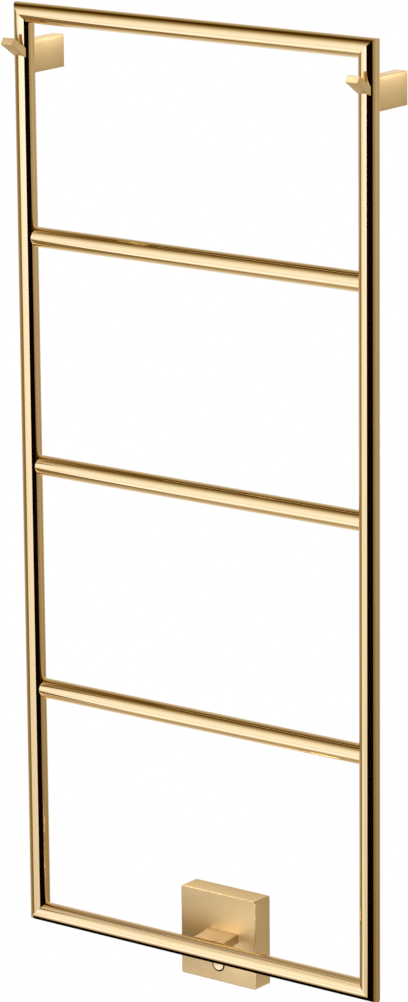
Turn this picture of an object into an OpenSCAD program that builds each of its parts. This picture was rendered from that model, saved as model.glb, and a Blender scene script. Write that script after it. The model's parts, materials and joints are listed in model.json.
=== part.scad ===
// Wall-hung electric towel warmer: a mitred ladder of round tube on two wall
// brackets with coat hooks, and a square control box that feeds a heating cable.
// X runs across the rack, Y points into the wall, Z is up. The origin is the
// centre of the four upper wall-screw holes, on the face of the wall.

/* [Tube frame] */
// Distance between the axes of the two uprights
frame_w = 453; // [300:1:700]
// Distance between the axes of the top and bottom tubes
frame_h = 1016; // [800:1:1400]
// Outside diameter of the frame tubes
tube_d = 22; // [21:0.5:28]
// Wall thickness of every tube
tube_wall = 1.5; // [1:0.1:2]

/* [Rungs] */
// Outside diameter of the rungs
rung_d = 22; // [18:0.5:24]
// Drop from the top tube's axis to the upper rung's axis
top_gap = 245; // [150:1:320]
// Rise from the bottom tube's axis to the lower rung's axis
bottom_gap = 261; // [150:1:320]
// How far the rungs sit behind the plane of the uprights
rung_set_back = 4.5; // [3:0.5:6]
// Distance from an upright's axis to the flat part of a rung's end
rung_end_inset = 4; // [3:0.5:7]

/* [Wall brackets] */
// Distance from the wall to the plane of the frame tubes
wall_gap = 58; // [50:1:90]
// Drop from the top tube's axis to the middle of the brackets
bracket_drop = 48; // [40:1:80]
// Width of a bracket bar
bracket_w = 15; // [14:0.5:20]
// Height of a bracket bar
bracket_h = 36; // [34:1:60]
// Width of the plate that a bracket slides over
wall_plate_w = 10; // [8:0.5:11]
// Height of that plate
wall_plate_h = 30; // [26:1:31]
// Thickness of that plate
wall_plate_t = 8; // [6:0.5:10]
// Diameter of the holes for the wall screws
wall_screw_d = 4.2; // [3.5:0.1:5]
// Distance between the two screw holes of one wall plate
wall_screw_pitch = 16; // [12:1:20]
// Diameter of the bolts that tie bracket, upright and hook together
frame_bolt_d = 4; // [3:1:5]
// Metal left over that bolt inside the hook
frame_bolt_cover = 1.3; // [0.8:0.1:2]
// Length of that bolt inside the hook
frame_bolt_bite = 6.5; // [4:0.5:7]

/* [Hooks] */
// Width of a hook's bar
hook_w = 15.5; // [10:0.5:18]
// Thickness of a hook's bar
hook_t = 8.5; // [8:0.5:12]
// Angle at which a hook rises, in degrees
hook_rise = 34; // [25:1:40]
// Length of a hook from the upright's axis to its tip
hook_len = 35; // [28:1:50]
// Height of a hook's axis above the bracket's middle, at the upright's axis
hook_lift = 0.5; // [0:0.5:3]

/* [Control box] */
// Width of the box
box_w = 102; // [98:1:140]
// Height of the box
box_h = 102; // [98:1:140]
// Depth of the box
box_d = 27; // [26:0.5:40]
// Height of the box's middle above the bottom tube's axis
box_lift = 5; // [2:0.5:8]
// Wall thickness of the box's cover
box_wall = 2; // [1.5:0.1:2.5]
// Radius of the corners of the cover
box_corner_r = 2; // [1:0.1:4]
// Thickness of the back plate
back_plate_t = 4; // [3.5:0.1:5]
// Distance between the back plate's two wall-screw holes
box_screw_pitch = 76; // [60:1:80]

/* [Arm] */
// Width of the arm between the bottom tube and the box
arm_w = 41; // [30:1:50]
// Thickness of the arm
arm_t = 10; // [9:0.5:12]
// Distance of the arm's middle from the rack's centre line
arm_shift = 7.5; // [0:0.5:8]
// Angle at which the arm climbs towards the wall, in degrees
arm_slope = 5.5; // [0:0.5:8]

/* [Button] */
// Diameter of the push button
button_d = 14; // [10:0.5:15]
// Outside diameter of the ring around the button
ring_d = 17; // [16.5:0.5:20]
// Height of the button's middle above the box's lower edge
button_rise = 20; // [16:0.5:22]
// How far the button stands out of the box
button_stand_out = 0.6; // [0.4:0.1:1.5]
// Travel of the button
button_travel = 1.5; // [1:0.1:2]

/* [Heating cable] */
// Diameter of the heating cable
cable_d = 5; // [4:0.5:6]
// Bend radius of the heating cable
cable_bend = 9; // [8:0.5:12]
// Diameter of the cold lead into the box
lead_d = 3.5; // [3:0.5:4]
// Diameter of the single wires inside the box
wire_d = 2; // [1.5:0.1:2.4]
// Bore for the supply cable in the inlet bush
inlet_d = 8; // [6:0.5:9]

/* [Fits] */
// Gap on each side between parts that slide together by hand
slide_gap = 0.3; // [0.2:0.05:0.4]
// Gap around a bolt or a lead in its hole
hole_gap = 0.25; // [0.2:0.05:0.4]
// Gap around a screw in its thread
thread_gap = 0.05; // [0.03:0.01:0.1]

/* [Hidden] */
$fn = 64;
eps = 0.1;

// Frame positions
tube_r = tube_d / 2;
tube_bore_d = tube_d - 2 * tube_wall;
rung_bore_d = rung_d - 2 * tube_wall;
upright_x = frame_w / 2;
tube_y = -wall_gap;
rung_y = tube_y + rung_set_back;
top_z = bracket_drop;
bottom_z = top_z - frame_h;
lower_rung_z = bottom_z + bottom_gap;
upper_rung_z = top_z - top_gap;
middle_rung_z = (lower_rung_z + upper_rung_z) / 2;
rung_heights = [lower_rung_z, middle_rung_z, upper_rung_z];

// Brackets, wall plates and the bolts through them
plate_pocket_depth = wall_plate_t + slide_gap;
hook_top_at_tube = hook_lift + tube_r * tan(hook_rise) + hook_t / 2 / cos(hook_rise);
frame_bolt_z = hook_top_at_tube - frame_bolt_d / 2 - frame_bolt_cover;
frame_bolt_head_d = frame_bolt_d + 3;
frame_bolt_key_d = frame_bolt_d - 0.8;
frame_bolt_head_y = -plate_pocket_depth - frame_bolt_d - slide_gap;
frame_bolt_tip_y = tube_y - tube_r - frame_bolt_bite;
grub_d = 4;
grub_key_d = 2;
grub_key_depth = 1.4;
grub_recess = 0.2;

// Control box
box_z = bottom_z + box_lift;
box_front_y = -box_d;
cover_inner_y = box_front_y + box_wall;
inner_w = box_w - 2 * box_wall;
inner_h = box_h - 2 * box_wall;
inner_corner_r = max(0.3, box_corner_r - box_wall / 2);
plate_front_y = -back_plate_t;
seal_w = 2;
seal_t = back_plate_t / 2;
cover_tab = [12, 8, 6];
cover_tab_x = 30;
cover_screw_d = 3;
cover_screw_y = plate_front_y - cover_tab[1] / 2;
cover_screw_len = box_wall + cover_tab[2] - 1;

// Arm: its top plane leaves the bottom tube's crest and climbs to the wall
arm_lip = 3;
arm_reach = wall_gap / cos(arm_slope) + arm_t;
arm_screw_d = 4;
arm_screw_head_d = 8;
arm_screw_head_h = (arm_screw_head_d - arm_screw_d) / 2;
arm_screw_key_d = 2.5;
arm_screw_key_depth = 1.5;
arm_screw_bite = 10;
arm_screw_edge = 8;
arm_screw_xs = [arm_shift - arm_w / 2 + arm_screw_edge, arm_shift + arm_w / 2 - arm_screw_edge];
arm_screw_z = arm_middle_z(plate_front_y - arm_screw_bite / 2);
lead_drop_y = box_front_y + 7;
lead_bore_d = lead_d + 2.5;
lead_drop_d = lead_bore_d + 1;

// Push button, its ring and switch
button_z = box_z - box_h / 2 + button_rise;
ring_flange_d = ring_d + 3;
ring_flange_t = 1.2;
ring_back_y = cover_inner_y + ring_flange_t;
button_flange_d = button_d + 2.5;
button_flange_t = 1.2;
button_flange_y = ring_back_y + slide_gap;
spring_seat_y = button_flange_y + button_flange_t;
stem_d = 4;
switch_size = [12, 4, 12];
spring_d = 8;
spring_wire_d = 0.6;
spring_turns = 3;

// Control board
board_size = [88, 1.6, 38];
board_back_y = -13;
board_front_y = board_back_y - board_size[1];
board_floor_gap = 4;
board_z = box_z - box_h / 2 + box_wall + board_floor_gap + board_size[2] / 2;
board_screw_d = 3;
board_screw_head_d = 5.5;
board_screw_head_h = 2;
board_screw_bite = back_plate_t / 4;
board_screw_inset = 3.5;
board_screw_x = board_size[0] / 2 - board_screw_inset;
board_screw_z = board_size[2] / 2 - board_screw_inset;
board_screw_places = [for (x = [-1, 1], z = [-1, 1]) [x * board_screw_x, board_z + z * board_screw_z]];
spacer_d = 6;
switch_front_y = board_front_y - switch_size[1];
relay_size = [19, 8, 15];
relay_at = [-27, -4];
supply_size = [28, 9, 18];
supply_at = [23, 7];
mains_terminal_size = [16, 8, 9];
mains_terminal_at = [-27, 14];
heater_terminal_size = [12, 8, 12];
heater_terminal_at = [0, 11];

// Upper half of the box
upper_z = box_z + 31;
terminal_block_size = [26, 12, 16];
terminal_block_x = -24;
terminal_front_y = plate_front_y - terminal_block_size[1];
terminal_pitch = 8;
clamp_hole_depth = 5;
clamp_screw_d = 4;
clamp_screw_len = 3.8;
clamp_screw_recess = 1;
clamp_slot_w = 0.7;
clamp_slot_depth = 0.8;
wire_xs = [-30, -24];
wire_bend = 3;
wire_drop_share = 0.35;
earth_x = 26;
earth_z = upper_z - 5;
earth_screw_d = 4;
earth_screw_head_d = 7;
earth_screw_head_h = 2.5;
earth_tag_d = 9;
earth_tag_t = wire_d + 2 * slide_gap;
earth_wire_bend = 4;
earth_wire_out = 14;
earth_wire_in = 7;
inlet_flange_d = 14;
inlet_body_d = 11;
inlet_flange_t = 2.5;
plate_screw_z = upper_z + 8;

// Heating cable
cable_bore_gap = 1.5;
cable_x = upright_x - (tube_bore_d / 2 - cable_d / 2 - cable_bore_gap);
port_d = cable_d + 7;
splice_d = cable_d + 3;
splice_len = 40;
splice_x = -12;
end_cap_d = cable_d + 1.5;
end_cap_len = 18;
cable_end_x = -upright_x + 60;
cable_spacer_len = 6;
cable_spacer_x = frame_w / 4;

// Each bend of a swept route takes this many short pieces
bend_steps = 5;

// Point lists for the routes, from start to end
cable_route = [
    [splice_x - splice_len, tube_y, bottom_z],
    [-cable_x, tube_y, bottom_z],
    [-cable_x, tube_y, lower_rung_z],
    [cable_x, tube_y, lower_rung_z],
    [cable_x, tube_y, middle_rung_z],
    [-cable_x, tube_y, middle_rung_z],
    [-cable_x, tube_y, upper_rung_z],
    [cable_x, tube_y, upper_rung_z],
    [cable_x, tube_y, top_z],
    [cable_end_x, tube_y, top_z]
];
lead_bend = 4;
lead_entry_y = tube_y + tube_r / 2;
lead_route = [
    [splice_x, tube_y, bottom_z],
    [0, tube_y, bottom_z],
    [0, lead_entry_y, arm_middle_z(lead_entry_y)],
    [0, lead_drop_y, arm_middle_z(lead_drop_y)],
    [0, lead_drop_y, board_z + heater_terminal_at[1] + heater_terminal_size[2] / 2]
];

// Height of the arm's middle plane at depth y
function arm_middle_z(y) =
    bottom_z + tube_r + (y - tube_y) * tan(arm_slope) - arm_t / 2 / cos(arm_slope);

function unit(v) = v / norm(v);

// Points of a rounded corner at b, between a and c
function corner_points(a, b, c, bend) =
    let (p = b + unit(a - b) * bend, q = b + unit(c - b) * bend)
    [for (i = [0:bend_steps]) let (t = i / bend_steps)
        p * (1 - t) * (1 - t) + b * 2 * t * (1 - t) + q * t * t];

// A polyline with every inner corner rounded
function rounded_route(points, bend) = concat(
    [points[0]],
    [for (i = [1:len(points) - 2]) each corner_points(points[i - 1], points[i], points[i + 1], bend)],
    [points[len(points) - 1]]
);

function tangent_at(p, i) = unit(p[min(i + 1, len(p) - 1)] - p[max(i - 1, 0)]);

// Side vectors that follow a route without twisting
function side_vectors(p, i, side, done = []) =
    i == len(p) ? done :
    let (t = tangent_at(p, i), s = unit(side - t * (side * t)))
    side_vectors(p, i + 1, s, concat(done, [s]));

// Solid of round section swept along a list of points
module swept_wire(p, d, sides = 8, side = [0, 0.8, 0.6]) {
    s = side_vectors(p, 0, side);
    rings = [for (i = [0:len(p) - 1]) each
        let (u = s[i], v = cross(tangent_at(p, i), u))
        [for (a = [0:360 / sides:359]) p[i] + (u * cos(a) + v * sin(a)) * d / 2]];
    last = (len(p) - 1) * sides;
    polyhedron(rings, concat(
        [[for (k = [0:sides - 1]) k]],
        [for (i = [0:len(p) - 2], k = [0:sides - 1])
            let (a = i * sides + k, b = i * sides + (k + 1) % sides)
            [a, a + sides, b + sides, b]],
        [[for (k = [0:sides - 1]) last + sides - 1 - k]]
    ));
}

// A rod or hole of diameter d from the point p, along +X, +Y or +Z
module rod_x(p, d, len) translate(p) rotate([0, 90, 0]) cylinder(h = len, d = d);
module rod_y(p, d, len) translate(p) rotate([-90, 0, 0]) cylinder(h = len, d = d);
module rod_z(p, d, len) translate(p) cylinder(h = len, d = d);

// A block centred in X and Z on p, running from p along +Y
module block_y(p, size) translate([p[0] - size[0] / 2, p[1], p[2] - size[2] / 2]) cube(size);

module rounded_rect(w, h, r) {
    square([w - 2 * r, h], center = true);
    square([w, h - 2 * r], center = true);
    for (x = [-1, 1], z = [-1, 1]) translate([x * (w / 2 - r), z * (h / 2 - r)]) circle(r = r);
}

// A rounded slab of the control box's outline, from y0 to y1
module box_slab(w, h, r, y0, y1) {
    translate([0, y1, box_z]) rotate([90, 0, 0]) linear_extrude(y1 - y0) rounded_rect(w, h, r);
}

// Everything beyond a mitre plane through the frame corner at x, z
module mitre_cutter(x, z, angle) {
    size = 4 * tube_d;
    translate([x, tube_y, z]) rotate([0, angle, 0]) translate([-size / 2, -size / 2, 0]) cube(size);
}

// Solid of a bar's outside, longer than the frame at both ends
module upright_solid(x) rod_z([x, tube_y, bottom_z - tube_d], tube_d, frame_h + 2 * tube_d);
module upright_bore(x) rod_z([x, tube_y, bottom_z - 2 * tube_d], tube_bore_d, frame_h + 4 * tube_d);
module bar_solid(z) rod_x([-upright_x - tube_d, tube_y, z], tube_d, frame_w + 2 * tube_d);
module bar_bore(z) rod_x([-upright_x - 2 * tube_d, tube_y, z], tube_bore_d, frame_w + 4 * tube_d);

// side is -1 for the left upright and 1 for the right one
module upright(side) {
    x = side * upright_x;
    difference() {
        upright_solid(x);
        upright_bore(x);
        mitre_cutter(x, top_z, -side * 45);
        mitre_cutter(x, bottom_z, -side * 135);
        for (z = rung_heights) cable_port(side, z);
        rod_y([x, tube_y - tube_d, frame_bolt_z], frame_bolt_d + 2 * hole_gap, 2 * tube_d);
    }
}

// Hole on an upright's inner side, where the cable turns into a rung
module cable_port(side, z) {
    start = side < 0 ? -upright_x : upright_x - tube_d;
    rod_x([start, tube_y, z], port_d, tube_d);
}

module top_tube() {
    color("goldenrod") difference() {
        bar_solid(top_z);
        bar_bore(top_z);
        mitre_cutter(-upright_x, top_z, 225);
        mitre_cutter(upright_x, top_z, 135);
    }
}

module bottom_tube() {
    color("goldenrod") difference() {
        bar_solid(bottom_z);
        bar_bore(bottom_z);
        mitre_cutter(-upright_x, bottom_z, -45);
        mitre_cutter(upright_x, bottom_z, 45);
        arm_bore(tube_y);
    }
}

module left_upright() color("goldenrod") upright(-1);
module right_upright() color("goldenrod") upright(1);

// A rung is saddled onto the uprights and a little behind them
module rung(z) {
    half = upright_x - rung_end_inset;
    color("goldenrod") difference() {
        rod_x([-half, rung_y, z], rung_d, 2 * half);
        rod_x([-half - eps, rung_y, z], rung_bore_d, 2 * (half + eps));
        upright_solid(-upright_x);
        upright_solid(upright_x);
    }
}

module upper_rung() rung(upper_rung_z);
module middle_rung() rung(middle_rung_z);
module lower_rung() rung(lower_rung_z);

// Bracket bar from the back of the upright to the wall
module bracket(side) {
    x = side * upright_x;
    pocket = [wall_plate_w + 2 * slide_gap, plate_pocket_depth + eps, wall_plate_h + 2 * slide_gap];
    color("darkgoldenrod") difference() {
        block_y([x, tube_y, 0], [bracket_w, wall_gap, bracket_h]);
        upright_solid(x);
        block_y([x, -plate_pocket_depth, 0], pocket);
        rod_y([x, tube_y, frame_bolt_z], frame_bolt_d + 2 * hole_gap, wall_gap);
        rod_y([x, frame_bolt_head_y, frame_bolt_z], frame_bolt_head_d + 2 * hole_gap, wall_gap);
        rod_z([x, -wall_plate_t / 2, -bracket_h / 2 - eps], grub_d + 2 * thread_gap, bracket_h / 2);
    }
}

module left_bracket() bracket(-1);
module right_bracket() bracket(1);

// Plate screwed to the wall inside a bracket
module wall_plate(side) {
    x = side * upright_x;
    color("silver") difference() {
        block_y([x, -wall_plate_t, 0], [wall_plate_w, wall_plate_t, wall_plate_h]);
        for (z = [-1, 1])
            rod_y([x, -wall_plate_t - eps, z * wall_screw_pitch / 2], wall_screw_d, 2 * wall_plate_t);
    }
}

module left_wall_plate() wall_plate(-1);
module right_wall_plate() wall_plate(1);

// Cap screws from the bracket's pocket, through the upright and into the hook
module bracket_bolts() {
    shank_len = frame_bolt_head_y - frame_bolt_tip_y;
    key_y = frame_bolt_head_y + frame_bolt_d / 2;
    color("silver") for (side = [-1, 1]) {
        x = side * upright_x;
        difference() {
            union() {
                rod_y([x, frame_bolt_tip_y, frame_bolt_z], frame_bolt_d, shank_len + eps);
                rod_y([x, frame_bolt_head_y, frame_bolt_z], frame_bolt_head_d, frame_bolt_d);
            }
            rod_y([x, key_y, frame_bolt_z], frame_bolt_key_d, frame_bolt_d, $fn = 6);
        }
    }
}

// A set screw standing in the underside of a part, its key socket at the bottom
module set_screw(p, d, len) {
    difference() {
        rod_z(p, d, len);
        translate([p[0], p[1], p[2] - eps]) cylinder(h = grub_key_depth + eps, d = grub_key_d, $fn = 6);
    }
}

module bracket_grub_screws() {
    bottom = -bracket_h / 2 + grub_recess;
    color("silver") for (side = [-1, 1])
        set_screw([side * upright_x, -wall_plate_t / 2, bottom], grub_d, -wall_plate_h / 2 - bottom);
}

// Flat peg that rises forwards from the upright
module hook(side) {
    x = side * upright_x;
    color("goldenrod") difference() {
        translate([x, tube_y, hook_lift]) rotate([-hook_rise, 0, 0])
            block_y([0, -hook_len, 0], [hook_w, hook_len, hook_t]);
        upright_solid(x);
        rod_y([x, frame_bolt_tip_y - slide_gap, frame_bolt_z], frame_bolt_d + 2 * thread_gap, tube_d);
    }
}

module left_hook() hook(-1);
module right_hook() hook(1);

// The arm's slanted block, grown on every side by gap
module arm_block(gap) {
    size = [arm_w + 2 * gap, arm_reach, arm_t + 2 * gap];
    translate([arm_shift, tube_y, bottom_z + tube_r]) rotate([arm_slope, 0, 0])
        translate([-arm_w / 2 - gap, arm_lip, -arm_t - gap]) cube(size);
}

// Cable way along the arm's middle, from y0 to where the lead drops into the box
module arm_bore(y0) {
    translate([0, y0, arm_middle_z(y0)]) rotate([arm_slope - 90, 0, 0])
        cylinder(h = (lead_drop_y - y0) / cos(arm_slope), d = lead_bore_d);
}

module arm_screw_holes(d, y0, len) {
    for (x = arm_screw_xs) rod_y([x, y0, arm_screw_z], d, len);
}

// Countersunk heads flush with the wall; over makes the cutters stand past it
module arm_screw_heads(over) {
    for (x = arm_screw_xs) translate([x, -arm_screw_head_h, arm_screw_z]) rotate([-90, 0, 0])
        cylinder(h = arm_screw_head_h + over, d1 = arm_screw_d, d2 = arm_screw_head_d + 2 * over);
}

module box_arm() {
    color("goldenrod") difference() {
        arm_block(0);
        bar_solid(bottom_z);
        translate([-box_w, plate_front_y, bottom_z - box_h]) cube([2 * box_w, box_d, 2 * box_h]);
        arm_bore(tube_y);
        rod_z([0, lead_drop_y, arm_middle_z(lead_drop_y) - arm_t], lead_drop_d, arm_t);
        arm_screw_holes(arm_screw_d + 2 * thread_gap, plate_front_y - arm_screw_bite - slide_gap, box_d);
    }
}

// Screws from behind the back plate into the end of the arm
module arm_screws() {
    shank_len = arm_screw_bite + back_plate_t - arm_screw_head_h;
    color("silver") difference() {
        union() {
            arm_screw_holes(arm_screw_d, plate_front_y - arm_screw_bite, shank_len + eps);
            arm_screw_heads(0);
        }
        for (x = arm_screw_xs)
            rod_y([x, -arm_screw_key_depth, arm_screw_z], arm_screw_key_d, arm_screw_head_d, $fn = 6);
    }
}

// Square ring in the edge of the back plate, w by h outside
module edge_ring(w, h) {
    y0 = -(back_plate_t + seal_t) / 2;
    difference() {
        box_slab(w, h, inner_corner_r, y0, y0 + seal_t);
        box_slab(inner_w - 2 * seal_w, inner_h - 2 * seal_w, inner_corner_r, -back_plate_t, 0);
    }
}

// A hole through the back plate at x, z
module plate_hole(x, z, d) rod_y([x, plate_front_y - eps, z], d, back_plate_t + 2 * eps);

// Back plate with two tabs for the cover screws along its lower edge
module box_back_plate() {
    plate_w = inner_w - 2 * slide_gap;
    plate_h = inner_h - 2 * slide_gap;
    color("silver") difference() {
        union() {
            box_slab(plate_w, plate_h, inner_corner_r, plate_front_y, 0);
            for (x = [-1, 1]) translate([x * cover_tab_x - cover_tab[0] / 2, 0, box_z - plate_h / 2])
                translate([0, plate_front_y - cover_tab[1], 0]) cube(cover_tab + [0, eps, 0]);
        }
        edge_ring(box_w, box_h);
        for (x = [-1, 1]) {
            plate_hole(x * box_screw_pitch / 2, plate_screw_z, wall_screw_d);
            cover_screw_hole(x, 2 * cover_tab[2]);
        }
        arm_screw_holes(arm_screw_d + 2 * hole_gap, plate_front_y - eps, back_plate_t);
        arm_screw_heads(eps);
        plate_hole(0, upper_z, inlet_body_d + 2 * thread_gap);
        plate_hole(earth_x, earth_z, earth_screw_d + 2 * thread_gap);
        for (at = board_screw_places)
            rod_y([at[0], plate_front_y - eps, at[1]], board_screw_d + 2 * thread_gap, back_plate_t / 2);
    }
}

module box_seal() color("black") edge_ring(inner_w, inner_h);

// side is -1 for the left cover screw and 1 for the right one
module cover_screw_hole(side, len) {
    bottom = box_z - box_h / 2 - eps;
    rod_z([side * cover_tab_x, cover_screw_y, bottom], cover_screw_d + 2 * thread_gap, len + eps);
}

module box_cover() {
    color("goldenrod") difference() {
        box_slab(box_w, box_h, box_corner_r, box_front_y, 0);
        box_slab(inner_w, inner_h, inner_corner_r, cover_inner_y, eps);
        arm_block(slide_gap);
        rod_y([0, box_front_y - eps, button_z], ring_d + 2 * thread_gap, box_wall + 2 * eps);
        for (x = [-1, 1]) cover_screw_hole(x, 2 * box_wall);
    }
}

module cover_screws() {
    bottom = box_z - box_h / 2 + grub_recess;
    color("silver") for (x = [-1, 1])
        set_screw([x * cover_tab_x, cover_screw_y, bottom], cover_screw_d, cover_screw_len);
}

// Ring pressed into the cover from behind; the button slides in it
module button_ring() {
    color("black") difference() {
        union() {
            rod_y([0, box_front_y, button_z], ring_d, box_wall + eps);
            rod_y([0, cover_inner_y, button_z], ring_flange_d, ring_flange_t);
        }
        rod_y([0, box_front_y - eps, button_z], button_d + 2 * slide_gap, 2 * (ring_back_y - box_front_y));
    }
}

module push_button() {
    face_y = box_front_y - button_stand_out;
    stem_end_y = switch_front_y - button_travel - slide_gap;
    color("goldenrod") {
        rod_y([0, face_y, button_z], button_d, button_flange_y - face_y + eps);
        rod_y([0, button_flange_y, button_z], button_flange_d, button_flange_t);
        rod_y([0, spring_seat_y - eps, button_z], stem_d, stem_end_y - spring_seat_y + eps);
    }
}

// Coil spring between the button's flange and the switch
module button_spring() {
    steps = spring_turns * 16;
    start = spring_seat_y + spring_wire_d / 2 + eps;
    length = switch_front_y - spring_wire_d / 2 - eps - start;
    coil = [for (i = [0:steps]) let (a = 360 * spring_turns * i / steps)
        [spring_d / 2 * cos(a), start + length * i / steps, button_z + spring_d / 2 * sin(a)]];
    color("silver") swept_wire(coil, spring_wire_d, 6, [0, 1, 0]);
}

module button_switch() color("dimgray") block_y([0, switch_front_y, button_z], switch_size);

// A part standing on the board's front face, at [x, z] from the board's middle
module on_board(at, size) block_y([at[0], board_front_y - size[1], board_z + at[1]], size);

module control_board() {
    color("darkgreen") difference() {
        block_y([0, board_front_y, board_z], board_size);
        for (at = board_screw_places)
            rod_y([at[0], board_front_y - eps, at[1]], board_screw_d + 2 * hole_gap, 2 * board_size[1]);
    }
}

module board_spacers() {
    len = plate_front_y - board_back_y;
    color("silver") for (at = board_screw_places) difference() {
        rod_y([at[0], board_back_y, at[1]], spacer_d, len);
        rod_y([at[0], board_back_y - eps, at[1]], board_screw_d + 2 * thread_gap, len + 2 * eps);
    }
}

module board_screws() {
    shank_len = plate_front_y - board_front_y + board_screw_bite;
    color("silver") for (at = board_screw_places) {
        rod_y([at[0], board_front_y - board_screw_head_h, at[1]], board_screw_head_d, board_screw_head_h);
        rod_y([at[0], board_front_y - eps, at[1]], board_screw_d, shank_len + eps);
    }
}

module power_relay() color("royalblue") on_board(relay_at, relay_size);
module power_supply() color("dimgray") on_board(supply_at, supply_size);
module mains_terminal() color("seagreen") on_board(mains_terminal_at, mains_terminal_size);
module heater_terminal() color("seagreen") on_board(heater_terminal_at, heater_terminal_size);

module terminal_block() {
    color("ivory") difference() {
        block_y([terminal_block_x, terminal_front_y, upper_z], terminal_block_size);
        for (i = [-1:1])
            rod_y([terminal_block_x + i * terminal_pitch, terminal_front_y - eps, upper_z],
                clamp_screw_d + 2 * thread_gap, clamp_hole_depth + eps);
    }
}

module terminal_screws() {
    y0 = terminal_front_y + clamp_screw_recess;
    color("silver") for (i = [-1:1]) difference() {
        rod_y([terminal_block_x + i * terminal_pitch, y0, upper_z], clamp_screw_d, clamp_screw_len);
        block_y([terminal_block_x + i * terminal_pitch, y0 - eps, upper_z],
            [clamp_screw_d + 1, clamp_slot_depth, clamp_slot_w]);
    }
}

// Wire from the terminal block down past the arm to the board
module mains_wire(x) {
    block_y_mid = plate_front_y - terminal_block_size[1] / 2;
    board_y_mid = board_front_y - mains_terminal_size[1] / 2;
    top = upper_z - terminal_block_size[2] / 2;
    bottom = board_z + mains_terminal_at[1] + mains_terminal_size[2] / 2;
    straight = (top - bottom) * wire_drop_share;
    swept_wire(rounded_route([
        [x, block_y_mid, top],
        [x, block_y_mid, top - straight],
        [x, board_y_mid, bottom + straight],
        [x, board_y_mid, bottom]
    ], wire_bend), wire_d, 8, [1, 0, 0]);
}

module live_wire() color("saddlebrown") mains_wire(wire_xs[0]);
module neutral_wire() color("steelblue") mains_wire(wire_xs[1]);

module earth_wire() {
    start_x = terminal_block_x + terminal_block_size[0] / 2;
    start_y = terminal_front_y + wire_d;
    end_x = earth_x - earth_tag_d / 2;
    end_y = plate_front_y - earth_tag_t / 2;
    color("yellowgreen") swept_wire(rounded_route([
        [start_x, start_y, upper_z],
        [start_x + earth_wire_out, start_y, upper_z],
        [end_x - earth_wire_in, end_y, earth_z],
        [end_x, end_y, earth_z]
    ], earth_wire_bend), wire_d, 8, [0, 0, 1]);
}

module earth_tag() {
    y0 = plate_front_y - earth_tag_t;
    color("silver") difference() {
        rod_y([earth_x, y0, earth_z], earth_tag_d, earth_tag_t);
        rod_y([earth_x, y0 - eps, earth_z], earth_screw_d + 2 * thread_gap, earth_tag_t + 2 * eps);
    }
}

module earth_screw() {
    y0 = plate_front_y - earth_tag_t;
    color("silver") {
        rod_y([earth_x, y0 - earth_screw_head_h, earth_z], earth_screw_head_d, earth_screw_head_h);
        rod_y([earth_x, y0 - eps, earth_z], earth_screw_d, earth_tag_t + back_plate_t - 1);
    }
}

// Rubber bush in the back plate for the supply cable from the wall
module inlet_bush() {
    y0 = plate_front_y - inlet_flange_t;
    color("black") difference() {
        union() {
            rod_y([0, y0, upper_z], inlet_flange_d, inlet_flange_t);
            rod_y([0, plate_front_y - eps, upper_z], inlet_body_d, back_plate_t + eps);
        }
        rod_y([0, y0 - eps, upper_z], inlet_d, back_plate_t + 2 * inlet_flange_t);
    }
}

module heating_cable() {
    color("firebrick") swept_wire(rounded_route(cable_route, cable_bend), cable_d, 8, [0, 1, 0]);
}

module cold_lead() color("dimgray") swept_wire(rounded_route(lead_route, lead_bend), lead_d);

module cable_splice() {
    color("dimgray") rod_x([splice_x - splice_len, tube_y, bottom_z], splice_d, splice_len);
}

module cable_end_cap() {
    color("dimgray") rod_x([cable_end_x - end_cap_len, tube_y, top_z], end_cap_d, end_cap_len);
}

// Rubber discs that hold the cable clear of the rung walls
module cable_spacers() {
    color("dimgray") for (z = rung_heights, x = [-1, 1]) difference() {
        rod_x([x * cable_spacer_x, rung_y, z], rung_bore_d - 2 * hole_gap, cable_spacer_len);
        rod_x([x * cable_spacer_x - eps, tube_y, z], cable_d + 2 * thread_gap, 2 * cable_spacer_len);
    }
}

left_upright();
right_upright();
top_tube();
bottom_tube();
upper_rung();
middle_rung();
lower_rung();
left_bracket();
right_bracket();
left_wall_plate();
right_wall_plate();
bracket_bolts();
bracket_grub_screws();
left_hook();
right_hook();
box_arm();
arm_screws();
box_back_plate();
box_seal();
box_cover();
cover_screws();
button_ring();
push_button();
button_spring();
button_switch();
control_board();
board_spacers();
board_screws();
power_relay();
power_supply();
mains_terminal();
heater_terminal();
terminal_block();
terminal_screws();
live_wire();
neutral_wire();
earth_wire();
earth_tag();
earth_screw();
inlet_bush();
heating_cable();
cable_spacers();
cable_end_cap();
cable_splice();
cold_lead();
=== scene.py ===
"""Towel warmer rack: the finished pieces and finishes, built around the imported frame."""
import json
import math

import bmesh
import bpy
from mathutils import Matrix, Vector


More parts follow.
